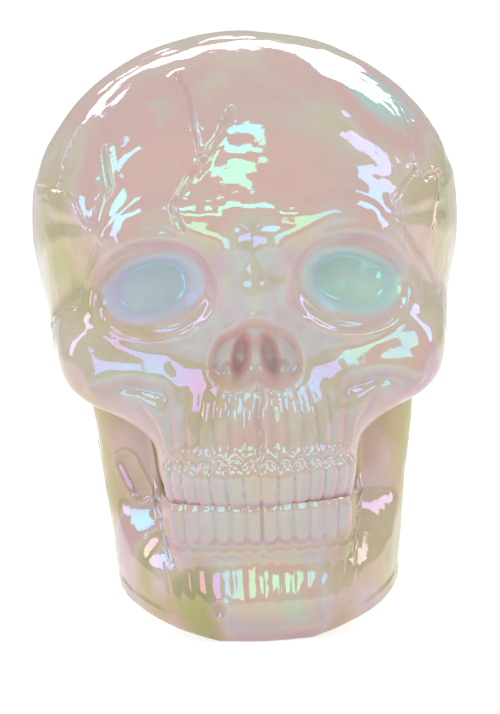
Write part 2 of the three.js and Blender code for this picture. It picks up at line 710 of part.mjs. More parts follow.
place(pedestal, "base_housing", surface(baseHousing()), charcoal, 0, 0, 0);
const foot = [[footIn, 0], [footOut, 0], [footOut, FOOT_T], [footIn, FOOT_T], [footIn, 0]];
place(pedestal, "foot_ring", turned(foot, FACETS_WIDE), rubber, 0, 0, 0);
place(pedestal, "battery_holder", surface(batteryHolder()), charcoal, 0, 0, 0);
for (let i = 0; i < HOLDER_SCREWS; i++) {
  const at = ringAt(screwRing, HOLDER_SCREWS, i + 0.5);
  const form = screwForm(SCREW_HEAD_R, SCREW_HEAD_T - GAP, SCREW_R, SCREW_L);
  const top = seatZ + SCREW_L + SCREW_HEAD_T;
  place(pedestal, `holder_screw_${i + 1}`, form, steel, at.x, at.y, top).rotation.x = Math.PI;
}
place(pedestal, "battery_cap", surface(batteryCap()), charcoal, 0, 0, seatZ);
place(pedestal, "cap_contact", rod(CONTACT_R, CONTACT_T, FACETS_MID), steel, 0, 0, capTopZ + GAP);

const coil = wire(new Coil(), SPRING_WIRE, SPRING_TURNS * TURN_STEPS);
const cell = turned([
  [0, 0],
  [CELL_R, 0],
  [CELL_R, CELL_H],
  [CELL_NUB_R, CELL_H],
  [CELL_NUB_R, CELL_H + CELL_NUB_H],
  [0, CELL_H + CELL_NUB_H],
], FACETS_SMALL);
for (let i = 0; i < CELLS; i++) {
  const at = ringAt(CELL_RING, CELLS, i);
  place(pedestal, `battery_${i + 1}`, cell, cellWrap, at.x, at.y, cellZ);
  place(pedestal, `contact_spring_${i + 1}`, coil, steel, at.x, at.y, springZ);
}
place(pedestal, "top_contact", rod(CONTACT_R, CONTACT_T, FACETS_MID), steel, 0, 0, topContactZ);

place(pedestal, "led_board", surface(ledBoard()), boardGreen, 0, 0, boardZ);
const lampZ = boardZ + BOARD_T + GAP;
const lamp = turned([
  [0, 0],
  [LED_R + LED_RIM, 0],
  [LED_R + LED_RIM, LED_RIM_H],
  [LED_R, LED_RIM_H],
  ...quarter(LED_R, LED_R, LED_H - LED_R, DOME_STEPS / 2),
], FACETS_SMALL);
for (let i = 0; i < LEDS; i++) {
  const at = ringAt(ledRing, LEDS, i);
  place(pedestal, `led_${i + 1}`, lamp, lens, at.x, at.y, lampZ);
}
[-POST_X, POST_X].forEach((x, i) => {
  const form = screwForm(SCREW_HEAD_R, SCREW_HEAD_T, SCREW_R, POST_H);
  place(pedestal, `board_screw_${i + 1}`, form, steel, x, 0, boardZ + BOARD_T + GAP - POST_H);
});

const domeOut = quarter(domeR, DOME_H, domeZ, DOME_STEPS);
const domeIn = quarter(domeR - DOME_WALL, DOME_H - DOME_WALL, domeZ, DOME_STEPS).reverse();
const domeForm = turned([...domeOut, ...domeIn, domeOut[0]], FACETS_MID);
place(pedestal, "diffuser", domeForm, frosted, 0, 0, 0);

const wallIn = BASE_R - WALL - ((BASE_R - baseTopR) * (SWITCH_Z + SWITCH_H / 2)) / shoulderZ;
const switchY = Math.sqrt(wallIn ** 2 - (SWITCH_W / 2) ** 2) - GAP;
const switchBox = new THREE.BoxGeometry(SWITCH_W, SWITCH_D, SWITCH_H);
place(pedestal, "switch_body", switchBox, black, 0, switchY - SWITCH_D / 2, SWITCH_Z);
const knobD = BASE_R + KNOB_OUT - switchY - GAP;
const knobBox = new THREE.BoxGeometry(KNOB_W, knobD, KNOB_H);
place(pedestal, "switch_knob", knobBox, black, -KNOB_TRAVEL / 2, switchY + GAP + knobD / 2, SWITCH_Z);

// Wires up to the lamp board
const wireEnd = new THREE.Vector3(0, boardR - POST_R, boardZ - GAP);
const fromSwitch = new THREE.CatmullRomCurve3([
  new THREE.Vector3(LEAD_X, switchY - SWITCH_D / 2, SWITCH_Z + SWITCH_H / 2 + GAP),
  new THREE.Vector3(LEAD_X, switchY - SWITCH_D / 2, SWITCH_Z + SWITCH_H),
  new THREE.Vector3(LEAD_X, wireEnd.y, boardZ - POST_H),
  new THREE.Vector3(LEAD_X, wireEnd.y, wireEnd.z),
]);
const tubeSide = TUBE_R + TUBE_WALL + GAP;
const fromCells = new THREE.CatmullRomCurve3([
  new THREE.Vector3(-LEAD_X, tubeSide, topContactZ - SPRING_H),
  new THREE.Vector3(-LEAD_X, wireEnd.y, topContactZ - SPRING_H / 2),
  new THREE.Vector3(-LEAD_X, wireEnd.y, boardZ - POST_H),
  new THREE.Vector3(-LEAD_X, wireEnd.y, wireEnd.z),
]);
place(pedestal, "lead_switch", wire(fromSwitch, LEAD_R, WIRE_STEPS), black, 0, 0, 0);
place(pedestal, "lead_battery", wire(fromCells, LEAD_R, WIRE_STEPS), red, 0, 0, 0);

export default group;
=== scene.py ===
import math

import bmesh
import bpy
import numpy as np
from mathutils import Matrix, Vector, noise


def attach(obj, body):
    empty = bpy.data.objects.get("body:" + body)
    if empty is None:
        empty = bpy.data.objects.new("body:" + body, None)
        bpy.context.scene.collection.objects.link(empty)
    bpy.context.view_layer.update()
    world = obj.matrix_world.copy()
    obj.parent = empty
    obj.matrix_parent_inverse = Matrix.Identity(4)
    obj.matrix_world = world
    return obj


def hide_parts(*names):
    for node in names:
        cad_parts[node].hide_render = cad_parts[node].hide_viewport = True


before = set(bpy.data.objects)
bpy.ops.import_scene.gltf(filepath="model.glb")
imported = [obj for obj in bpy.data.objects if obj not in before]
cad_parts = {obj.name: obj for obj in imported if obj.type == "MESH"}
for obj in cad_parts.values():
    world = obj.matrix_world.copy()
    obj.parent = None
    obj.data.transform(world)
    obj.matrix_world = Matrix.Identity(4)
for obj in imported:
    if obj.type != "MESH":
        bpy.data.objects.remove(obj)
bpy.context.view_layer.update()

# Skull: the hollow head of the decoration, moulded in clear glossy styrene with a pearly interference film.
# It is two halves, face and back, bonded behind the ears, with eye and nose cups closed at the bottom.
# Its form blends egg-shaped bones, in millimetres: middle, then half-lengths aside, ahead, behind, up, down.
BONES = (
    ((0, 14, 145), (77.2, 97, 82, 66.5, 78)),  # braincase
    ((0, 15, 86), (44, 50, 48, 24, 24)),  # underside
    ((40, 27, 80), (8, 11, 12, 16, 14)),  # knobs behind the ears
    ((0, -42, 114), (52, 38, 40, 36, 30)),  # face
    ((0, -44, 147), (55, 41, 40, 11, 10)),  # brow
    ((0, -74, 119), (7, 18, 20, 22, 12)),  # bridge of the nose
    ((46, -55, 94), (17, 15, 17, 12, 11)),  # cheekbones
    ((56, -20, 103), (13.5, 44, 44, 14, 14)),  # cheek arches
    ((31, -58, 87), (12, 14, 14, 9, 10)),  # roots of the cheekbones
    ((0, -60, 76), (31, 29, 26, 24, 32)),  # muzzle
    ((0, -58, 58), (32.5, 33.5, 18, 12, 30)),  # tooth row
)
BONE_BLEND = 6
BITE_Z, FLOOR_Z = 51, 70
PALATE_FRONT_Y, PALATE_REAR_Y = -74, -42
SEAM_Y, SEAM_GAP = 14, 0.15
WALL = 2.4
MM = 0.001
SKULL_CORE = np.array((0, 0, 125.0))
RAY_START, RAY_STRIDE, RAY_STRIDES = 20.0, 0.8, 50


def smooth(low, high, x):
    t = np.clip((x - low) / (high - low), 0, 1)
    return t * t * (3 - 2 * t)


def skull_depth(p):
    """Distance of points from the skull's skin, negative inside."""
    near = np.zeros(len(p))
    for (mx, my, mz), (aside, ahead, behind, up, down) in BONES:
        for side in (-1, 1) if mx else (1,):
            d = p - np.array((side * mx, my, mz))
            half = np.empty_like(d)
            half[:, 0] = aside
            half[:, 1] = np.where(d[:, 1] < 0, ahead, behind)
            half[:, 2] = np.where(d[:, 2] > 0, up, down)
            k = np.linalg.norm(d / half, axis=1)
            slope = np.maximum(np.linalg.norm(d / half**2, axis=1), 1e-9)
            near += np.exp(-k * (k - 1) / slope / BONE_BLEND)
    floor = BITE_Z + (FLOOR_Z - BITE_Z) * smooth(PALATE_FRONT_Y, PALATE_REAR_Y, p[:, 1])
    return np.maximum(-BONE_BLEND * np.log(near), floor - p[:, 2])


def onto_skin(rays):
    """Points where rays from the core come out of the skin."""
    reach = np.full(len(rays), RAY_START)
    for _ in range(RAY_STRIDES):
        reach -= RAY_STRIDE * skull_depth(SKULL_CORE + rays * reach[:, None])
    return SKULL_CORE + rays * reach[:, None]


def outward(p):
    """Direction straight out of the skin at points on it."""
    step = 0.2 * np.eye(3)
    out = np.stack([skull_depth(p + s) - skull_depth(p - s) for s in step], 1)
    return out / np.linalg.norm(out, axis=1)[:, None]


def from_line(p, points):
    """Distance of points from a line drawn through a few others."""
    nearest = np.full(len(p), 1e9)
    for a, b in zip(np.array(points[:-1], float), np.array(points[1:], float)):
        t = np.clip((p - a) @ (b - a) / ((b - a) @ (b - a)), 0, 1)
        nearest = np.minimum(nearest, np.linalg.norm(p - a - t[:, None] * (b - a), axis=1))
    return nearest


def on_side(line, side):
    """A line that is drawn on one side of the face, on that side or its mirror image."""
    return [(side * x, y, z) for x, y, z in line]


def lumps(p, size, seed):
    """Soft unevenness, from -1 to 1, with lumps of that size."""
    return np.array([noise.noise(Vector(q) / size + Vector((seed, seed, seed))) for q in p])


def bead(far, width):
    """Height of a rounded bead at a distance from its middle, where it is 1."""
    return np.exp(-((far / width) ** 2))


CRACKS = (
    ((-23.3, -35.5, 198.6), (-19.3, -52.7, 190.5), (-18.1, -65.1, 180.5), (-16.2, -74.2, 170.5)),
    ((-4.8, -61.3, 186.9), (-10.3, -70.5, 177.1), (-15.6, -75, 169.8)),
    ((-15.6, -75, 169.8), (-20.7, -76.8, 164.5), (-25.5, -79.8, 157.2), (-26.7, -81.8, 153.2),
     (-23.2, -85, 146.5)),
    ((54.7, -19.6, 186), (57.7, -27.4, 179.2), (59, -45.7, 162.4)),
    ((59, -45.7, 162.4), (63.4, -41.5, 158.4), (65.5, -35.7, 159.7), (69.8, -24, 159.8)),
    ((59, -45.7, 162.4), (50.6, -64.8, 153.3), (54.6, -61.5, 140.6), (66.9, -33, 120)),
    ((67.6, -31, 159.3), (68.2, -33.9, 150.5), (65.2, -43.6, 140.6)),
    ((-49.9, -47.8, 173.6), (-48, -61.8, 160.3), (-53, -62.9, 139.4), (-62.6, -48.1, 117.2),
     (-71.2, -17.6, 109.4)),
    ((-74.5, -4.9, 158.1), (-66.4, -34.1, 159.1), (-61.2, -47.5, 156.2), (-58, -56.4, 147.9)),
    ((-58.5, -24.4, 179.6), (-65.4, -27, 167.5), (-66.4, -34.1, 159.1)),
    ((0.4, -83.9, 93), (1.4, -87.1, 86.8), (-0.8, -89.6, 80.1), (1.2, -90.7, 73.1), (-0.4, -92.2, 65.6)),
)

# a globe of rays that crowd towards the face, finer at the teeth and along the cracks
EVEN_SHARE, FACE_SHARE = 0.55, 0.45
FINE_BELOW_Z, FINE_AHEAD_Y, FINE_BY_CRACK = 71, -50, 2.2
skull = bmesh.new()
bmesh.ops.create_icosphere(skull, subdivisions=7, radius=1)
rays = np.array([v.co for v in skull.verts])
share = np.arccos(np.clip(-rays[:, 1], -1, 1)) / math.pi
turn = math.pi * (EVEN_SHARE * share + FACE_SHARE * share**2)
flat = rays[:, (0, 2)] / np.maximum(np.linalg.norm(rays[:, (0, 2)], axis=1), 1e-9)[:, None]
rays = np.stack((flat[:, 0] * np.sin(turn), -np.cos(turn), flat[:, 1] * np.sin(turn)), 1)
p = onto_skin(rays)
fine = (p[:, 2] < FINE_BELOW_Z) & (p[:, 1] < FINE_AHEAD_Y)
for crack in CRACKS:
    fine |= from_line(p, crack) < FINE_BY_CRACK
for v, ray, chosen in zip(skull.verts, rays, fine):
    v.co = ray
    v.tag = bool(chosen)
split = [e for e in skull.edges if e.verts[0].tag and e.verts[1].tag]
bmesh.ops.subdivide_edges(skull, edges=split, cuts=1)
bmesh.ops.triangulate(skull, faces=[f for f in skull.faces if len(f.verts) > 3])
rays = np.array([v.co for v in skull.verts])
rays /= np.linalg.norm(rays, axis=1)[:, None]
p = onto_skin(rays)
out = outward(p)

# unevenness of the moulding, as height, size and seed, and ripples across the forehead
SKULL_LUMPS = ((0.4, 13, 3), (0.2, 5.5, 8), (0.7, 30, 21))
RIPPLE_HIGH, RIPPLE_FROM_Z, RIPPLE_STRETCH = 0.55, (150, 162), np.array((0.42, 0.7, 1.25))
lift = sum(height * lumps(p, size, seed) for height, size, seed in SKULL_LUMPS)
lift += RIPPLE_HIGH * smooth(*RIPPLE_FROM_Z, p[:, 2]) * lumps(p * RIPPLE_STRETCH, 11, 14)

# cracks, sutures and temple lines: a groove between two low lips
CRACK_LIP, CRACK_LIP_AT, CRACK_LIP_WIDE, CRACK_DEEP, CRACK_WIDE = 0.5, 1.8, 0.9, 0.7, 0.8
for crack in CRACKS:
    d = from_line(p, crack)
    lift += CRACK_LIP * bead(d - CRACK_LIP_AT, CRACK_LIP_WIDE) - CRACK_DEEP * bead(d, CRACK_WIDE)

# brow arches: an even slope up to a rounded edge, along a line on one side
BROW = (
    (9, -89, 140), (18, -86, 145.5), (28, -81, 149), (36, -77, 148), (45, -71, 140.5), (52, -60, 130),
    (54.5, -56, 120),
)
BROW_HIGH, BROW_WIDE, BROW_ROUND, BROW_TOP = 2.9, 9, 0.2, 1.08
# under-eye ridges, cheek folds and the folds beside the nose: a line on one side, its height and width
RIDGES = (
    (((55, -69, 94), (44, -72, 96.5), (32, -75, 95), (26, -77, 91)), 1.1, 6),
    (((53, -70, 89.5), (43, -73.5, 91), (33, -75.5, 88.5)), -2.6, 2.2),
    (((57, -69, 91), (43, -75, 86), (33.5, -76, 80), (32, -74.5, 70)), 1.5, 3),
    (((7, -89, 139), (9.5, -87, 130), (9.5, -87.5, 120), (15, -84, 111)), 1.3, 2),
    (((13, -85, 136), (14.5, -84, 124), (19, -80, 112)), -1.1, 1.9),
    (((2.4, -91, 136), (2.6, -92, 128)), -0.6, 0.9),
)
for side in (-1, 1):
    slope = np.hypot(from_line(p, on_side(BROW, side)) / BROW_WIDE, BROW_ROUND)
    lift += BROW_HIGH * np.clip(BROW_TOP - slope, 0, 1)
    for line, height, width in RIDGES:
        lift += height * bead(from_line(p, on_side(line, side)), width)

# upper teeth, their scalloped gum and the flutes that their roots raise on the muzzle
TEETH, TOOTH_SPREAD, TOOTH_ENDS = 14, 2.44, (1.3, 1.2)
ARCH_WIDE, ARCH_DEEP, ARCH_MID_Y, ARCH_REAR_Y = 33.5, 34.5, -58, -45
ROOT_HIGH, ROOT_ROUND, ROOT_LOW_Z, ROOT_TOP_Z = 1.7, 0.4, (66, 72), (94, 80)
CROWN_HIGH, CROWN_LEAST, CROWN_TOP_Z, CROWN_SCALLOP = 2, 0.2, (65.5, 62), 2.5
GUM_HIGH, GUM_Z, GUM_WIDE, GUM_SCALLOP = 0.8, 67.2, 1.5, 2


def off_middle(around, spread):
    """How far points are from the middle of their tooth, 1 at the gap to the next."""
    tooth = around / spread * TEETH + TEETH / 2
    return np.abs(tooth - np.floor(tooth) - 0.5) * 2


def crown_form(off, high, least):
    """Height of a tooth's rounded front."""
    return high * np.sqrt(np.maximum(1 - off**4, 0)) + least


z = p[:, 2]
around = np.arctan2(p[:, 0] / ARCH_WIDE, (ARCH_MID_Y - p[:, 1]) / ARCH_DEEP)
off = off_middle(around, TOOTH_SPREAD)
row = smooth(*TOOTH_ENDS, np.abs(around)) * (p[:, 1] < ARCH_REAR_Y)
lift += ROOT_HIGH * row * smooth(*ROOT_LOW_Z, z) * smooth(*ROOT_TOP_Z, z) * (ROOT_ROUND - off**2)
crown = smooth(*CROWN_TOP_Z, z + CROWN_SCALLOP * off**2)
lift += row * crown * crown_form(off, CROWN_HIGH, CROWN_LEAST)
lift += GUM_HIGH * row * bead(z - GUM_Z + GUM_SCALLOP * off**2, GUM_WIDE)
REAR_Y, REAR_SHARE = 10, 0.6
p += out * (lift * np.where(p[:, 1] < REAR_Y, 1, REAR_SHARE))[:, None]

# eye cups: a broad rounded rim, then a steep bowl with an uneven bottom
EYE_X, EYE_Z = 34.8, 124.7


def oval(p, half_w, half_h, droop, square):
    """How far out points are in an oval round their eye, 1 on its edge; its outer end droops."""
    dx, dz = np.abs(p[:, 0]) - EYE_X, p[:, 2] - EYE_Z
    along = (dx * math.cos(droop) - dz * math.sin(droop)) / half_w
    across = (dz * math.cos(droop) + dx * math.sin(droop)) / half_h
    return (np.abs(along) ** square + np.abs(across) ** square) ** (1 / square)


EYE_RIM, EYE_HOLE = (21.8, 17.9, 0.1, 2), (18.8, 13.2, 0.24, 2.3)
EYE_FROM_Y, RIM_SINK, RIM_HIGH, RIM_AT, RIM_WIDE = (-34, -40), 0.12, 1.5, 1.02, 0.12
BOWL_Y, BOWL_TILT, BOWL_ROUGH, BOWL_SINK = -56, 0.14, 0.8, 0.88
bowl = BOWL_Y + BOWL_ROUGH * lumps(p, 8, 4) + BOWL_TILT * (p[:, 2] - EYE_Z)
rim, hole = oval(p, *EYE_RIM), oval(p, *EYE_HOLE)
facing = smooth(*EYE_FROM_Y, p[:, 1])
sunk = facing * (RIM_SINK * smooth(1.04, 0.85, rim) + BOWL_SINK * smooth(1.03, 0.62, hole))
p[:, 1] += sunk * (bowl - p[:, 1]) - RIM_HIGH * facing * bead(rim - RIM_AT, RIM_WIDE)

# nose: an upside-down heart, shallow at its lobes, with a deep slot each side of the thin wall up its middle
LOBE_X, LOBE_Z, LOBE_WIDE, LOBE_UP, LOBE_DOWN = 7.6, 97, 8.8, 13, 7.8
PEAK_Z, PEAK_WIDE, PEAK_UP, PEAK_DOWN = 104, 8.2, 10.5, 10
NOSTRIL_X, NOSTRIL_Z, NOSTRIL_WIDE, NOSTRIL_TALL, NOSTRIL_LEAN, NOSTRIL_LEAN_Z = 5, 100.5, 3.6, 9.5, 0.16, 101
DISH_X, DISH_Z, DISH_WIDE, DISH_TALL = 8.6, 95, 5, 4.6
HEART_BLEND, HEART_DEEP, NOSTRIL_DEEP, DISH_DEEP = 0.12, 5, 9, 2.5
NOSE_FROM_Y, NOSE_RIM_HIGH, NOSE_RIM_AT, NOSE_RIM_WIDE = -60, 1.1, 1.1, 0.11
aside, z = np.abs(p[:, 0]), p[:, 2]
lobe = np.hypot((aside - LOBE_X) / LOBE_WIDE, (z - LOBE_Z) / np.where(z > LOBE_Z, LOBE_UP, LOBE_DOWN))
peak = np.hypot(aside / PEAK_WIDE, (z - PEAK_Z) / np.where(z > PEAK_Z, PEAK_UP, PEAK_DOWN))
heart = -HEART_BLEND * np.log(np.exp(-lobe / HEART_BLEND) + np.exp(-peak / HEART_BLEND))
heart = np.where(p[:, 1] < NOSE_FROM_Y, heart, 9)
from_wall = aside - NOSTRIL_X - NOSTRIL_LEAN * (NOSTRIL_LEAN_Z - z)
nostril = np.hypot(from_wall / NOSTRIL_WIDE, (z - NOSTRIL_Z) / NOSTRIL_TALL)
dish = np.hypot((aside - DISH_X) / DISH_WIDE, (z - DISH_Z) / DISH_TALL)
sunk = HEART_DEEP * smooth(1.02, 0.78, heart)
sunk = sunk + NOSTRIL_DEEP * smooth(1, 0.55, nostril) + DISH_DEEP * smooth(1, 0.4, dish)
p[:, 1] += np.where(heart < 2, sunk, 0)
p[:, 1] -= NOSE_RIM_HIGH * bead(heart - NOSE_RIM_AT, NOSE_RIM_WIDE)
for v, q in zip(skull.verts, p):
    v.co = Vector(q) * MM

# How thick the film is from place to place: middle, how far it spreads, and the thickness
SKULL_FILM = (
    ((-25, -74, 172), 24, 0.35), ((8, -80, 162), 18, 0.3), ((-50, -52, 170), 17, 0.34),
    ((30, -74, 162), 14, 0.27), ((10, -62, 185), 18, 0.13), ((32, -60, 180), 14, -0.02),
    ((0, -25, 204), 24, 0.16), ((-45, -25, 190), 16, 0.2), ((50, -34, 184), 19, 0.52),
    ((54, -46, 172), 12, 0.08), ((66, -30, 150), 20, -0.04), ((-66, -30, 150), 20, -0.06),
    ((-60, -50, 130), 13, -0.02), ((58, -50, 128), 13, 0.08), ((-30, -81, 150), 8, 0.1),
    ((30, -81, 149), 8, 0.12), ((0, -89, 145), 7, -0.04), ((-35, -64, 125), 15, 0.04),
    ((35, -64, 125), 15, 0.04), ((0, -91, 125), 9, 0.06), ((14, -86, 115), 5, 0.26),
    ((-45, -72, 102), 13, 0.03), ((48, -70, 99), 9, 0.26), ((38, -75, 104), 7, 0.2),
    ((68, -20, 104), 20, 0.06), ((-68, -20, 104), 20, 0.06), ((-22, -82, 80), 11, -0.03),
    ((22, -82, 82), 11, -0.02), ((0, -90, 82), 8, 0.1), ((-9, -91, 71), 7, 0.22),
    ((0, -94, 58), 20, 0.2), ((0, -78, 100), 9, 0.13), ((60, 40, 150), 40, 0.1),
    ((-60, 40, 150), 40, 0.25), ((0, 90, 140), 40, 0.3), ((0, 60, 195), 40, 0.05),
    ((0, 15, 72), 40, 0.1), ((-52, -68, 98), 8, 0.02), ((-40, -74, 84), 9, 0.1), ((40, -74, 84), 9, 0.08),
)
CUP_OVAL, CUP_FROM_Y, CUP_FILM, CUP_FILM_ASIDE = (18, 11.4, 0.26, 2.2), -45, 0.16, 0.001


def film_on(mesh, places):
    """Writes a mesh's film, point by point: its thickness, and how far it is the eye cups' grey film."""
    co = np.empty(len(mesh.vertices) * 3)
    mesh.vertices.foreach_get("co", co)
    co = co.reshape(-1, 3) * 1000
    total, weight = np.zeros(len(co)), np.full(len(co), 1e-6)
    for at, spread, value in places:
        w = bead(np.linalg.norm(co - np.array(at), axis=1), spread) + 1e-5
        total += w * value
        weight += w
    cup = smooth(1.05, 0.93, oval(co, *CUP_OVAL)) * (co[:, 1] < CUP_FROM_Y)
    film = (total / weight) * (1 - cup) + (CUP_FILM + CUP_FILM_ASIDE * co[:, 0]) * cup
    for name, values in (("film", film), ("cup", cup)):
        mesh.attributes.new(name, "FLOAT", "POINT").data.foreach_set("value", values.astype(np.float32))


def linear(code):
    """Colour of a hex code as linear red, green, blue, alpha."""
    parts = [int(code[i : i + 2], 16) / 255 for i in (0, 2, 4)]
    return [c / 12.92 if c <= 0.04045 else ((c + 0.055) / 1.055) ** 2.4 for c in parts] + [1]


def settle(node, **values):
    """Sets a node's inputs by their names, with _ for a space, and hands it back."""
    for name, value in values.items():
        node.inputs[name.replace("_", " ")].default_value = value
    return node


FILM_LEAST, FILM_MOST = -0.3, 0.8
FILM_TINTS = (
    (-0.28, "959970"), (-0.14, "A8A07E"), (-0.02, "BBAC8B"), (0.1, "C5B4A1"), (0.22, "CBA69B"),
    (0.32, "D0A09A"), (0.42, "BCAFA9"), (0.48, "B2B8B8"), (0.55, "A9BBAE"), (0.8, "98A590"),
)
CUP_LEFT, CUP_RIGHT = "C1C5C8", "BFCDC1"


def pearl_with_painted_glow(name):
    """Clear glossy plastic whose thin film tints it pink, ochre, olive and blue-grey by its thickness. It also
    glows faintly in that tint, a painted glow that flattens its shading.
    """
    made = bpy.data.materials.new(name)
    made.use_nodes = True
    nodes, link = made.node_tree.nodes, made.node_tree.links.new
    # the emission strength is a painted glow over the whole shell that evens out its light and shade
    shell = settle(nodes["Principled BSDF"], Roughness=0.055, IOR=1.5, Thin_Film_IOR=1.95,
                   Emission_Strength=0.24, Sheen_Weight=0.15, Sheen_Roughness=0.4, Subsurface_Weight=0.25,
                   Subsurface_Radius=(1, 0.85, 0.75), Subsurface_Scale=0.004)
    place = nodes.new("ShaderNodeTexCoord").outputs["Object"]

    # the film's own thickness, made cloudy
    film = nodes.new("ShaderNodeAttribute")
    film.attribute_name = "film"
    cloud = settle(nodes.new("ShaderNodeTexNoise"), Scale=36, Detail=4, Distortion=0.6)
    link(place, cloud.inputs["Vector"])
    spread = settle(nodes.new("ShaderNodeMapRange"), From_Min=0.25, From_Max=0.75, To_Min=-0.14, To_Max=0.14)
    link(cloud.outputs["Fac"], spread.inputs["Value"])
    thick = nodes.new("ShaderNodeMath")
    link(film.outputs["Fac"], thick.inputs[0])
    link(spread.outputs["Result"], thick.inputs[1])

    # its tint by that thickness
    shift = settle(nodes.new("ShaderNodeMapRange"), From_Min=FILM_LEAST, From_Max=FILM_MOST)
    link(thick.outputs["Value"], shift.inputs["Value"])
    tint = nodes.new("ShaderNodeValToRGB")
    ramp = tint.color_ramp
    while len(ramp.elements) < len(FILM_TINTS):
        ramp.elements.new(0.5)
    for stop, (value, code) in zip(ramp.elements, FILM_TINTS):
        stop.position = (value - FILM_LEAST) / (FILM_MOST - FILM_LEAST)
        stop.color = linear(code)
    link(shift.outputs["Result"], tint.inputs["Fac"])

    # the grey of the eye cups, from left to right
    side = nodes.new("ShaderNodeSeparateXYZ")
    link(place, side.inputs["Vector"])
    stray = nodes.new("ShaderNodeMath")
    stray.operation = "MULTIPLY_ADD"
    stray.inputs[1].default_value = 0.15
    link(spread.outputs["Result"], stray.inputs[0])
    link(side.outputs["X"], stray.inputs[2])
    across = settle(nodes.new("ShaderNodeMapRange"), From_Min=-0.05, From_Max=0.05)
    link(stray.outputs["Value"], across.inputs["Value"])
    grey = nodes.new("ShaderNodeValToRGB")
    grey.color_ramp.elements[0].color = linear(CUP_LEFT)
    grey.color_ramp.elements[1].color = linear(CUP_RIGHT)
    link(across.outputs["Result"], grey.inputs["Fac"])
    cup = nodes.new("ShaderNodeAttribute")
    cup.attribute_name = "cup"
    colour = nodes.new("ShaderNodeMixRGB")
    link(cup.outputs["Fac"], colour.inputs["Fac"])
    link(tint.outputs["Color"], colour.inputs["Color1"])
    link(grey.outputs["Color"], colour.inputs["Color2"])
    link(colour.outputs["Color"], shell.inputs["Base Color"])
    # the same tint glows as painted light; the lamp inside the skull is not lit
    link(colour.outputs["Color"], shell.inputs["Emission Color"])

    # the gleam of the film in nanometres, and a faint ripple in the surface
    gleam = settle(nodes.new("ShaderNodeMapRange"), From_Min=0, From_Max=1, To_Min=291, To_Max=430)
    gleam.clamp = False
    link(thick.outputs["Value"], gleam.inputs["Value"])
    link(gleam.outputs["Result"], shell.inputs["Thin Film Thickness"])
    ripple = settle(nodes.new("ShaderNodeTexNoise"), Scale=170, Detail=3)
    link(place, ripple.inputs["Vector"])
    bump = settle(nodes.new("ShaderNodeBump"), Strength=0.15, Distance=0.0006)
    link(ripple.outputs["Fac"], bump.inputs["Height"])
    link(bump.outputs["Normal"], shell.inputs["Normal"])
    return made


def ease(mesh, edges, edge):
    """Rounds edges off."""
    bmesh.ops.bevel(mesh, geom=list(edges), offset=edge * MM, offset_type="OFFSET", segments=3, profile=0.5,
                    affect="EDGES", material=-1, clamp_overlap=True)


def turned(mesh, outline, middle, axis, steps, edge):
    """Adds a ring: an outline of (radius, distance along) points spun about an axis, its corners eased."""
    old = set(mesh.faces)
    axis, middle = Vector(axis), Vector(middle)
    aside = Vector((0, 0, 1)) if axis.x else Vector((1, 0, 0))
    corners = [mesh.verts.new((middle + aside * r + axis * h) * MM) for r, h in outline]
    sides = [mesh.edges.new(pair) for pair in zip(corners, corners[1:] + corners[:1])]
    bmesh.ops.spin(mesh, geom=corners + sides, cent=middle * MM, axis=axis, angle=2 * math.pi, steps=steps,
                   use_merge=True)
    made = [f for f in mesh.faces if f not in old]
    bmesh.ops.recalc_face_normals(mesh, faces=made)
    ease(mesh, dict.fromkeys(e for f in made for e in f.edges if e.calc_face_angle(0) > 0.5), edge)


pearl = pearl_with_painted_glow("pearl_shell")
PIVOT_Y, PIVOT_Z = -6, 73.4
BOSS_R, BOSS_BORE, BOSS_IN, BOSS_OUT = 5.6, 2.3, 34.3, 46.7
BOSS = ((BOSS_BORE, BOSS_IN), (BOSS_R, BOSS_IN), (BOSS_R, BOSS_OUT), (BOSS_BORE, BOSS_OUT))
# the round hole in the floor, and how near to it points are drawn onto its edge, in metres
BASE_MIDDLE = Vector((0, 0.012, 0))
FLOOR_HOLE, NEAR_HOLE, NEAR_FLOOR, NEAR_SEAM = 0.0267, 0.0011, 0.0004, 0.0005
for half, away in (("face", 1), ("back", -1)):
    part = skull.copy()
    bmesh.ops.bisect_plane(part, geom=part.verts[:] + part.edges[:] + part.faces[:], plane_no=(0, away, 0),
                           plane_co=(0, (SEAM_Y - SEAM_GAP * away) * MM, 0), clear_outer=True)
    low = [v for v in part.verts if v.co.z < FLOOR_Z * MM + NEAR_FLOOR]
    ring = {v: (v.co - BASE_MIDDLE).to_2d().length for v in low}
    for v, far in ring.items():
        if abs(far - FLOOR_HOLE) < NEAR_HOLE and (v.co.y - SEAM_Y * MM) * away < -NEAR_SEAM:
            v.co.xy = BASE_MIDDLE.xy + (v.co - BASE_MIDDLE).to_2d() * (FLOOR_HOLE / far)
    open_points = {v for v in low if (v.co - BASE_MIDDLE).to_2d().length < FLOOR_HOLE + 1e-5}
    inside = [f for f in part.faces if all(v in open_points for v in f.verts)]
    bmesh.ops.delete(part, geom=inside, context="FACES")
    for side in (-1, 1) if half == "face" else ():
        turned(part, BOSS, (0, PIVOT_Y, PIVOT_Z), (side, 0, 0), 40, 0.3)
    mesh = bpy.data.meshes.new(half + "_shell_form")
    part.to_mesh(mesh)
    part.free()
    mesh.shade_smooth()
    film_on(mesh, SKULL_FILM)
    shell = bpy.data.objects.new(half + "_shell_form", mesh)
    bpy.context.scene.collection.objects.link(shell)
    mesh.materials.append(pearl)
    wall = shell.modifiers.new("wall", "SOLIDIFY")
    wall.thickness = WALL * MM
    wall.offset = -1
    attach(shell, "skull")
    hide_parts(half + "_shell")
skull.free()

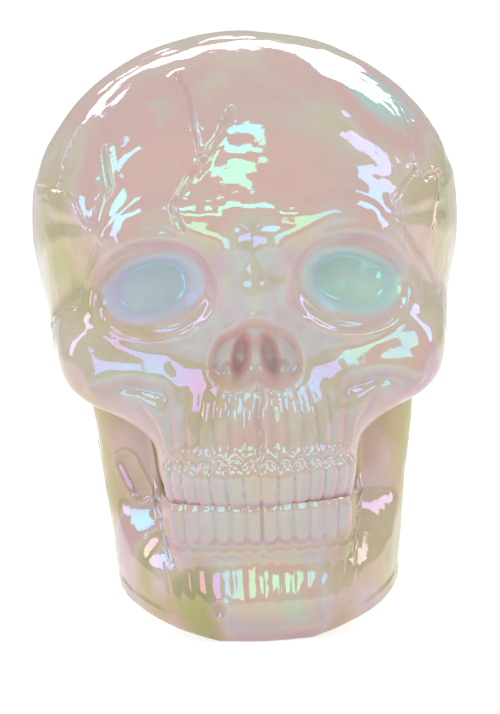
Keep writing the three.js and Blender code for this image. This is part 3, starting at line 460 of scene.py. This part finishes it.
# Jaw: the separate lower jaw, one U-shaped moulding of the same plastic with the lower teeth along its lip.
# It hangs on a screw at the top of each branch, behind the cheekbones, and its lower edge has a low rim.
JAW_Z, JAW_SIDE, JAW_FLARE, JAW_MID_Y, JAW_REAR_Y, JAW_ARC = 1, 47.4, 0.128, -22, 7, 0.72
CHIN_Y, CHIN_Z, CHIN_ROLL, FOLD_Z, FOLD_IN, LIP_Z, LIP_Y = -90, 14, 9, 28, 3.5, 49.8, -90.5
CONDYLE_SHARE, LEDGE_SHARE, MOUTH_SHARE, CORNER_SHARE, TOOTH_SHARE = 0.86, 0.28, 0.31, 0.335, 0.335
CHIN_SHARE, EDGE_RISE, HEEL_RISE, HEEL_DROP = 0.16, 20.5, 36, 12
BRANCH_Z, BRANCH_DIP, LEDGE_TALL, LEDGE_Y = 82, 11, 26, -52


def jaw_skin(share, rise):
    """Points of the jaw's outside: how far round the U, from -1 to 1, and how far up from its lower edge."""
    round_u = np.abs(share)
    heel = np.clip((round_u - CONDYLE_SHARE) / (1 - CONDYLE_SHARE), 0, 1)
    behind_chin = np.clip((round_u - CHIN_SHARE) / (CONDYLE_SHARE - CHIN_SHARE), 0, None)
    low = JAW_Z + EDGE_RISE * behind_chin + HEEL_RISE * heel**2
    to_corner = np.clip((CONDYLE_SHARE - round_u) / (CONDYLE_SHARE - CORNER_SHARE), 0, 1)
    top = np.where(heel > 0, BRANCH_Z - HEEL_DROP * heel**2, BRANCH_Z - BRANCH_DIP * to_corner**5)
    top = LIP_Z + (top - LIP_Z) * smooth(MOUTH_SHARE, CORNER_SHARE, round_u)
    z = low + (top - low) * rise
    front = np.where(z < CHIN_Z, CHIN_Y + CHIN_ROLL * ((CHIN_Z - z) / (CHIN_Z - JAW_Z)) ** 2,
                     CHIN_Y + FOLD_IN * smooth(CHIN_Z, FOLD_Z, z))
    lip = CHIN_Y + FOLD_IN + (LIP_Y - CHIN_Y - FOLD_IN) * smooth(FOLD_Z, LIP_Z, z)
    front = np.where(z > FOLD_Z, lip, front)
    step = smooth(LIP_Z - LEDGE_TALL, LIP_Z, z) * smooth(LEDGE_SHARE, MOUTH_SHARE, round_u)
    deep = JAW_MID_Y - (front + (LEDGE_Y - front) * step)
    turn = np.minimum(round_u / JAW_ARC, 1) * math.pi / 2
    behind = np.clip((round_u - JAW_ARC) / (1 - JAW_ARC), 0, None)
    x = np.sign(share) * (JAW_SIDE + JAW_FLARE * z) * np.sin(turn)
    y = JAW_MID_Y - deep * np.cos(turn) + behind * (JAW_REAR_Y - JAW_MID_Y)
    return np.stack((x, y, z), 1)


# a sheet bent round the U, its points crowded towards the teeth
jaw = bmesh.new()
bmesh.ops.create_grid(jaw, x_segments=260, y_segments=110, size=0.5)
grid = np.array([v.co for v in jaw.verts])
share, rise = grid[:, 0] * 2, grid[:, 1] + 0.5
share = np.sign(share) * (0.62 * np.abs(share) + 0.38 * share**2)
p = jaw_skin(share, rise)
NUDGE = 1e-3
along = jaw_skin(share + NUDGE, rise) - jaw_skin(share - NUDGE, rise)
up = jaw_skin(share, rise + NUDGE) - jaw_skin(share, rise - NUDGE)
out = np.cross(along, up)
out /= np.maximum(np.linalg.norm(out, axis=1), 1e-9)[:, None]

# lower teeth, worn at their tips, their gum and the flutes of their roots
LOW_CROWN_HIGH, LOW_CROWN_LEAST, LOW_CROWN_Z, LOW_CROWN_SCALLOP = 1.9, 0.1, (34.2, 37.5), 2
TIP_WEAR, TIP_Z = 0.55, (47, 50)
LOW_GUM_HIGH, LOW_GUM_Z, LOW_GUM_WIDE, LOW_GUM_SCALLOP = 0.8, 31.8, 1.7, 1.2
LOW_ROOT_ROUND, LOW_ROOT_TOP_Z, LOW_ROOT_LOW_Z = 0.45, (30, 26), (9, 21)
z = p[:, 2]
off = off_middle(share, 2 * TOOTH_SHARE)
row = smooth(TOOTH_SHARE * 1.04, TOOTH_SHARE * 0.99, np.abs(share))
crown = smooth(*LOW_CROWN_Z, z - LOW_CROWN_SCALLOP * off**2) * (1 - TIP_WEAR * smooth(*TIP_Z, z))
lift = row * crown * crown_form(off, LOW_CROWN_HIGH, LOW_CROWN_LEAST)
lift += LOW_GUM_HIGH * row * bead(z - LOW_GUM_Z - LOW_GUM_SCALLOP * off**2, LOW_GUM_WIDE)
uneven = 0.5 + 0.5 * lumps(p, 7, 9)
lift += uneven * row * smooth(*LOW_ROOT_TOP_Z, z) * smooth(*LOW_ROOT_LOW_Z, z) * (LOW_ROOT_ROUND - off**2)

# rim along the lower edge, unevenness of the moulding, a dimple on the chin and a recess on one branch
RIM_TALL, JAW_RIM_HIGH, RIM_GROOVE_AT, RIM_GROOVE = (5.2, 2.8), 0.6, 5.6, 0.1
DIMPLE, DIMPLE_RING_AT, DIMPLE_RING, DIMPLE_DEEP = np.array((-16, -87, 12)), 3.4, 0.7, 1.4
RECESS, RECESS_R, RECESS_LIP, RECESS_DEEP = ((-46.5, 0, 61), (-41.5, 0, 50)), 3.8, 0.4, 1.1
low = z - jaw_skin(share, np.zeros(len(p)))[:, 2]
lift += JAW_RIM_HIGH * smooth(*RIM_TALL, low) - RIM_GROOVE * bead(low - RIM_GROOVE_AT, 1.2)
lift += 0.35 * lumps(p, 12, 5) + 0.15 * lumps(p, 5, 6)
d = np.linalg.norm(p - DIMPLE, axis=1)
lift += DIMPLE_RING * bead(d - DIMPLE_RING_AT, 1.1) - DIMPLE_DEEP * bead(d, 2.2)
d = from_line(p * np.array((1, 0, 1)), RECESS)
recess = RECESS_LIP * bead(d - RECESS_R, 1) - RECESS_DEEP * smooth(RECESS_R, 1.5, d)
lift += np.where((p[:, 0] < 0) & (p[:, 1] > -60), recess, 0)
p += out * lift[:, None]

# a round hole for each pivot, with an ear in it
PIVOT_HOLE, EAR_R, EAR_IN, EAR_OUT = 4.9, 6.6, 48.5, 53.5
EAR = ((BOSS_BORE, EAR_IN), (EAR_R, EAR_IN), (EAR_R, EAR_OUT), (BOSS_BORE, EAR_OUT))
pivot = np.array((PIVOT_Y, PIVOT_Z))
far = np.hypot(p[:, 1] - PIVOT_Y, p[:, 2] - PIVOT_Z)
near = np.abs(far - PIVOT_HOLE) < 0.5
p[near, 1:] = pivot + (p[near, 1:] - pivot) * (PIVOT_HOLE / far[near])[:, None]
for v, q in zip(jaw.verts, p):
    v.co = Vector(q) * MM
open_points = {v for v in jaw.verts if (v.co.yz * 1000 - Vector((PIVOT_Y, PIVOT_Z))).length < PIVOT_HOLE + 0.01}
inside = [f for f in jaw.faces if all(v in open_points for v in f.verts)]
bmesh.ops.delete(jaw, geom=inside, context="FACES")
bmesh.ops.recalc_face_normals(jaw, faces=jaw.faces[:])
for side in (-1, 1):
    turned(jaw, EAR, (0, PIVOT_Y, PIVOT_Z), (side, 0, 0), 48, 0.4)
mesh = bpy.data.meshes.new("jaw_form")
jaw.to_mesh(mesh)
jaw.free()
mesh.shade_smooth()
JAW_FILM = (
    ((-47, -45, 30), 10, 0.3), ((-42, -55, 26), 9, -0.26), ((-46, -42, 12), 11, 0.12),
    ((-28, -80, 16), 12, -0.28), ((-36, -72, 26), 9, 0.3), ((4, -90, 16), 14, 0.33),
    ((31, -79, 20), 12, -0.06), ((50, -40, 30), 18, -0.06), ((0, -90, 42), 18, 0.2),
    ((-52, -25, 55), 14, -0.12), ((-35, -75, 38), 9, 0.26), ((52, -25, 55), 16, -0.12),
    ((0, -80, 2), 9, 0.06), ((-30, -68, 4), 8, 0.06), ((34, -65, 6), 8, 0.08), ((40, -60, 40), 10, 0),
    ((-56, 0, 60), 14, -0.1), ((56, 0, 60), 14, 0.1),
)
film_on(mesh, JAW_FILM)
mesh.materials.append(pearl)
jaw_piece = bpy.data.objects.new("jaw_form", mesh)
bpy.context.scene.collection.objects.link(jaw_piece)
wall = jaw_piece.modifiers.new("wall", "SOLIDIFY")
wall.thickness = WALL * MM
wall.offset = -1
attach(jaw_piece, "jaw")
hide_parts("jaw")


# Jaw pivots: on each side a plated pan-head screw goes through the jaw's ear and a soft washer.
# It bites into the skull's boss, and the washer's grip keeps the jaw wherever it is put.
def mottled(name, dark, pale, grain, rough, metal, bump):
    """Material that wanders between two colours over a grain in metres, with uneven gloss and a fine bump."""
    made = bpy.data.materials.new(name)
    made.use_nodes = True
    nodes, link = made.node_tree.nodes, made.node_tree.links.new
    surface = settle(nodes["Principled BSDF"], Metallic=metal)
    place = nodes.new("ShaderNodeTexCoord").outputs["Object"]
    cloud = settle(nodes.new("ShaderNodeTexNoise"), Scale=1 / grain, Detail=6)
    link(place, cloud.inputs["Vector"])
    tint = nodes.new("ShaderNodeValToRGB")
    for stop, at, code in zip(tint.color_ramp.elements, (0.3, 0.7), (dark, pale)):
        stop.position = at
        stop.color = linear(code)
    link(cloud.outputs["Fac"], tint.inputs["Fac"])
    link(tint.outputs["Color"], surface.inputs["Base Color"])
    gloss = settle(nodes.new("ShaderNodeMapRange"), To_Min=rough * 0.75, To_Max=rough * 1.25)
    link(cloud.outputs["Fac"], gloss.inputs["Value"])
    link(gloss.outputs["Result"], surface.inputs["Roughness"])
    grit = settle(nodes.new("ShaderNodeTexNoise"), Scale=6 / grain)
    link(place, grit.inputs["Vector"])
    relief = settle(nodes.new("ShaderNodeBump"), Strength=bump, Distance=0.0002)
    link(grit.outputs["Fac"], relief.inputs["Height"])
    link(relief.outputs["Normal"], surface.inputs["Normal"])
    return made


def dress(material, *names):
    """Gives its material to pieces that keep their own shape."""
    for name in names:
        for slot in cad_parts[name].material_slots:
            slot.material = material


steel = mottled("plated_steel", "A4A7AB", "C9CBCE", 0.004, 0.25, 1, 0.1)
dress(steel, "pivot_screw_left", "pivot_screw_right")
washer = mottled("washer_rubber", "131313", "282828", 0.002, 0.75, 0, 0.4)
dress(washer, "pivot_washer_left", "pivot_washer_right")

# Pedestal: the round stand behind the jaw, turned in charcoal plastic with a fine spark-eroded grain.
# Its flange catches the floor of the skull and three bosses inside take the battery holder's screws.
# The switch has a slot in the rear of its wall.
BASE_Y, BASE_R, BASE_TOP_R, BASE_WALL = 12, 32, 29.4, 2.4
SEAT_Z, SHOULDER_Z, FLANGE_Z, FLANGE_R, NECK_R, NECK_BORE = 1.9, 69.7, 72.7, 30.2, 26.4, 23.6
SCREW_RING, SCREW_TURNS, SCREW_BOSS, SCREW_BORE, SCREW_LOW, SCREW_TOP = 25.2, (60, 180, 300), 4.3, 1.7, 4.6, 18
SLOT_HALF_W, SLOT_LOW, SLOT_HIGH = 4.5, 28, 32
charcoal = mottled("charcoal_plastic", "232325", "343437", 0.0012, 0.55, 0, 0.5)
housing = bmesh.new()
turned(housing, (
    (BASE_R - BASE_WALL, SEAT_Z), (BASE_R, SEAT_Z), (BASE_TOP_R, SHOULDER_Z), (NECK_R, SHOULDER_Z),
    (NECK_R, FLANGE_Z), (FLANGE_R, FLANGE_Z), (FLANGE_R, FLANGE_Z + BASE_WALL),
    (NECK_BORE, FLANGE_Z + BASE_WALL), (NECK_BORE, SHOULDER_Z - BASE_WALL),
    (BASE_TOP_R - BASE_WALL, SHOULDER_Z - 2 * BASE_WALL),
), (0, BASE_Y, 0), (0, 0, 1), 128, 0.5)
for direction, at in (((1, 0, 0), (SLOT_HALF_W, 0, 0)), ((1, 0, 0), (-SLOT_HALF_W, 0, 0)),
                      ((0, 0, 1), (0, 0, SLOT_LOW)), ((0, 0, 1), (0, 0, SLOT_HIGH))):
    rear = [f for f in housing.faces if f.calc_center_median().y > (BASE_Y + NECK_R) * MM]
    edging = dict.fromkeys([v for f in rear for v in f.verts] + [e for f in rear for e in f.edges])
    bmesh.ops.bisect_plane(housing, geom=list(edging) + rear, plane_co=Vector(at) * MM, plane_no=direction)
window = []
for f in housing.faces:
    at = f.calc_center_median() * 1000
    if at.y > BASE_Y + NECK_R and abs(at.x) < SLOT_HALF_W and SLOT_LOW < at.z < SLOT_HIGH:
        window.append(f)
bmesh.ops.delete(housing, geom=window, context="FACES")
bmesh.ops.bridge_loops(housing, edges=[e for e in housing.edges if e.is_boundary])
screw_boss = (
    (SCREW_BORE, SCREW_LOW), (SCREW_BOSS, SCREW_LOW), (SCREW_BOSS, SCREW_TOP), (SCREW_BORE, SCREW_TOP),
)
for turn in SCREW_TURNS:
    at = (SCREW_RING * math.cos(math.radians(turn)), BASE_Y + SCREW_RING * math.sin(math.radians(turn)), 0)
    turned(housing, screw_boss, at, (0, 0, 1), 32, 0.3)


def finished(shape, name, body, node, material):
    """Makes a smooth piece of a shape, riding on its body in place of its plain form."""
    mesh = bpy.data.meshes.new(name)
    shape.to_mesh(mesh)
    shape.free()
    mesh.shade_smooth()
    mesh.set_sharp_from_angle(angle=math.radians(40))
    mesh.materials.append(material)
    piece = bpy.data.objects.new(name, mesh)
    bpy.context.scene.collection.objects.link(piece)
    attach(piece, body)
    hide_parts(node)


finished(housing, "base_housing_form", "skull", "base_housing", charcoal)

# Foot ring: a flat ring of black rubber stuck under the pedestal, so that it neither slides nor marks a table.
# Its corners are rounded as a cut and ground ring's are.
FOOT_OUT, FOOT_IN, FOOT_TOP = 31.4, 24, 1.6
foot = bmesh.new()
turned(foot, ((FOOT_IN, 0), (FOOT_OUT, 0), (FOOT_OUT, FOOT_TOP), (FOOT_IN, FOOT_TOP)),
       (0, BASE_Y, 0), (0, 0, 1), 128, 0.45)
rubber = mottled("foot_rubber", "121212", "242424", 0.0025, 0.8, 0, 0.5)
finished(foot, "foot_ring_form", "skull", "foot_ring", rubber)

# Battery holder: the floor of the pedestal with its battery tube, charcoal plastic on three plated screws.
# The twist cap closes the tube from below and carries the lower contact plate.
dress(charcoal, "battery_holder", "battery_cap")
dress(steel, "holder_screw_1", "holder_screw_2", "holder_screw_3", "cap_contact")

# Cells: three AAA cells in plain grey-blue sleeves, each on its spring, under a contact plate.
# The springs and the plate are plated steel.
sleeve = mottled("cell_sleeve", "3B4049", "535A66", 0.006, 0.35, 0.6, 0.1)
dress(sleeve, "battery_1", "battery_2", "battery_3")
dress(steel, "contact_spring_1", "contact_spring_2", "contact_spring_3", "top_contact")

# Lamp: a round green circuit board with three clear LEDs, screwed to two posts of the battery tube.
# It sits under a frosted dome that spreads its light through the skull.
dress(mottled("solder_mask", "1A472B", "2C6B42", 0.003, 0.4, 0, 0.3), "led_board")
dress(steel, "board_screw_1", "board_screw_2")
epoxy = mottled("led_epoxy", "EDE7D6", "FBF7EC", 0.003, 0.12, 0, 0.05)
settle(epoxy.node_tree.nodes["Principled BSDF"], Transmission_Weight=0.6)
dress(epoxy, "led_1", "led_2", "led_3")
frosted = mottled("frosted_dome", "EAEAE6", "F7F7F3", 0.004, 0.6, 0, 0.3)
settle(frosted.node_tree.nodes["Principled BSDF"], Transmission_Weight=0.4)
dress(frosted, "diffuser")

# Switch: a slide switch behind the pedestal's wall, with its knob in the slot.
# The knob is satin black plastic with three ribs across its end for a fingertip.
# A black wire goes from the switch to the lamp, and a red one from the cells.
KNOB_LEFT, KNOB_RIGHT, KNOB_IN, KNOB_OUT, KNOB_LOW, KNOB_TOP = -4.2, 0.2, 39.5, 46.3, 28.3, 31.7
RIB_OUT, RIB_W, RIBS = 46.6, 0.6, 3


def block(shape, low, high, edge):
    """Adds a block between two corners, its edges rounded."""
    low, high = Vector(low) * MM, Vector(high) * MM
    size = Matrix.Diagonal((high - low).to_4d())
    made = bmesh.ops.create_cube(shape, size=1, matrix=Matrix.Translation((low + high) / 2) @ size)
    ease(shape, dict.fromkeys(e for v in made["verts"] for e in v.link_edges), edge)


knob = bmesh.new()
block(knob, (KNOB_LEFT, KNOB_IN, KNOB_LOW), (KNOB_RIGHT, KNOB_OUT, KNOB_TOP), 0.4)
for i in range(RIBS):
    at = KNOB_LEFT + (KNOB_RIGHT - KNOB_LEFT) * (i + 1) / (RIBS + 1)
    block(knob, (at - RIB_W / 2, KNOB_OUT - RIB_W, KNOB_LOW + RIB_W),
          (at + RIB_W / 2, RIB_OUT, KNOB_TOP - RIB_W), 0.2)
satin = mottled("switch_plastic", "111111", "202020", 0.0015, 0.4, 0, 0.3)
finished(knob, "switch_knob_form", "switch_knob", "switch_knob", satin)
dress(satin, "switch_body")
dress(mottled("black_wire", "141414", "232323", 0.002, 0.5, 0, 0.2), "lead_switch")
dress(mottled("red_wire", "8E1C1C", "AE2A2A", 0.002, 0.5, 0, 0.2), "lead_battery")

# Studio: a wide pale floor under an even white sky, both dimmer to the plastic than to the eye.
# Seven soft boxes gleam on the plastic: two mint ones overhead and two tall ones at the sides,
# two pale blue ones in front, and a white one behind.
WHITE, MINT = (1, 1, 1), (0.52, 1, 0.84)
STUDIO_MIDDLE = Vector((0, -0.05, 0.13))
floor_mesh = bpy.data.meshes.new("floor")
floor = bmesh.new()
bmesh.ops.create_grid(floor, x_segments=1, y_segments=1, size=20)
floor.to_mesh(floor_mesh)
floor.free()
floor_piece = bpy.data.objects.new("floor", floor_mesh)
bpy.context.scene.collection.objects.link(floor_piece)
paper = bpy.data.materials.new("pale_floor")
paper.use_nodes = True
nodes, link = paper.node_tree.nodes, paper.node_tree.links.new
sheet = settle(nodes["Principled BSDF"], Base_Color=(0.7, 0.7, 0.7, 1), Roughness=0.9,
               Emission_Color=(*WHITE, 1))
floor_glow = settle(nodes.new("ShaderNodeMapRange"), To_Min=0.2, To_Max=0.7)
link(nodes.new("ShaderNodeLightPath").outputs["Is Camera Ray"], floor_glow.inputs["Value"])
link(floor_glow.outputs["Result"], sheet.inputs["Emission Strength"])
floor_mesh.materials.append(paper)
sky = bpy.data.worlds.new("white_sky")
sky.use_nodes = True
nodes, link = sky.node_tree.nodes, sky.node_tree.links.new
dome = settle(nodes["Background"], Color=(*WHITE, 1))
path = nodes.new("ShaderNodeLightPath")
sky_glow = settle(nodes.new("ShaderNodeMapRange"), To_Min=0.5, To_Max=0.28)
link(path.outputs["Is Glossy Ray"], sky_glow.inputs["Value"])
seen = nodes.new("ShaderNodeMath")
seen.operation = "MAXIMUM"
link(path.outputs["Is Camera Ray"], seen.inputs[0])
link(sky_glow.outputs["Result"], seen.inputs[1])
link(seen.outputs["Value"], dome.inputs["Strength"])
bpy.context.scene.world = sky
for name, rise, turn, far, wide, tall, glow, hue in (
    ("soft_box_above", 77, -6, 1.5, 0.6, 0.24, 4.6, MINT),
    ("soft_box_high", 58, -8, 1.5, 1.1, 0.22, 4.2, MINT),
    ("soft_box_left", 22, -34, 1.6, 1.0, 0.6, 2.8, (0.84, 0.9, 1)),
    ("soft_box_right", 30, 38, 1.6, 1.0, 0.5, 2.8, (0.84, 0.94, 1)),
    ("soft_box_side_left", 28, -106, 1.5, 0.32, 1.15, 4.2, MINT),
    ("soft_box_side_right", 28, 104, 1.5, 0.32, 1.15, 4.2, MINT),
    ("soft_box_behind", 30, 180, 1.6, 1.8, 0.35, 5, WHITE),
):
    rise, turn = math.radians(rise), math.radians(turn)
    towards = Vector((math.cos(rise) * math.sin(turn), -math.cos(rise) * math.cos(turn), math.sin(rise)))
    lamp = bpy.data.lights.new(name, "AREA")
    lamp.shape = "RECTANGLE"
    lamp.size, lamp.size_y, lamp.color = wide, tall, hue
    lamp.energy = glow * math.pi * wide * tall
    box = bpy.data.objects.new(name, lamp)
    box.location = towards * far + STUDIO_MIDDLE
    box.rotation_euler = (STUDIO_MIDDLE - box.location).to_track_quat("-Z", "Y").to_euler()
    bpy.context.scene.collection.objects.link(box)

# Camera: a long lens in front of the face, a little above it, turned and tipped a touch as in the photograph.
# The photograph is 714 pixels tall, and 2757 of them go to a metre of the skull.
FRAME_TALL, PIXELS, SENSOR = 714, 2757, 36
yaw, rise, roll, far = math.radians(-1.4), math.radians(5), math.radians(2), 2.2
back = Vector((math.sin(yaw) * math.cos(rise), -math.cos(yaw) * math.cos(rise), math.sin(rise)))
right = Vector((math.cos(yaw), math.sin(yaw), 0))
up = back.cross(right)
right, up = right * math.cos(roll) - up * math.sin(roll), up * math.cos(roll) + right * math.sin(roll)
aim = Vector((0, 0, 0.115)) + right * (2 / PIXELS) - up * (59 / PIXELS)
lens = bpy.data.cameras.new("camera")
lens.sensor_fit = "VERTICAL"
lens.sensor_height = SENSOR
lens.lens = SENSOR * far / (FRAME_TALL / PIXELS)
lens.clip_end = 100
camera = bpy.data.objects.new("camera", lens)
camera.matrix_world = Matrix((right, up, back)).transposed().to_4x4()
camera.location = aim + back * far
bpy.context.scene.collection.objects.link(camera)
bpy.context.scene.camera = camera
bpy.context.scene.view_settings.view_transform = "Standard"
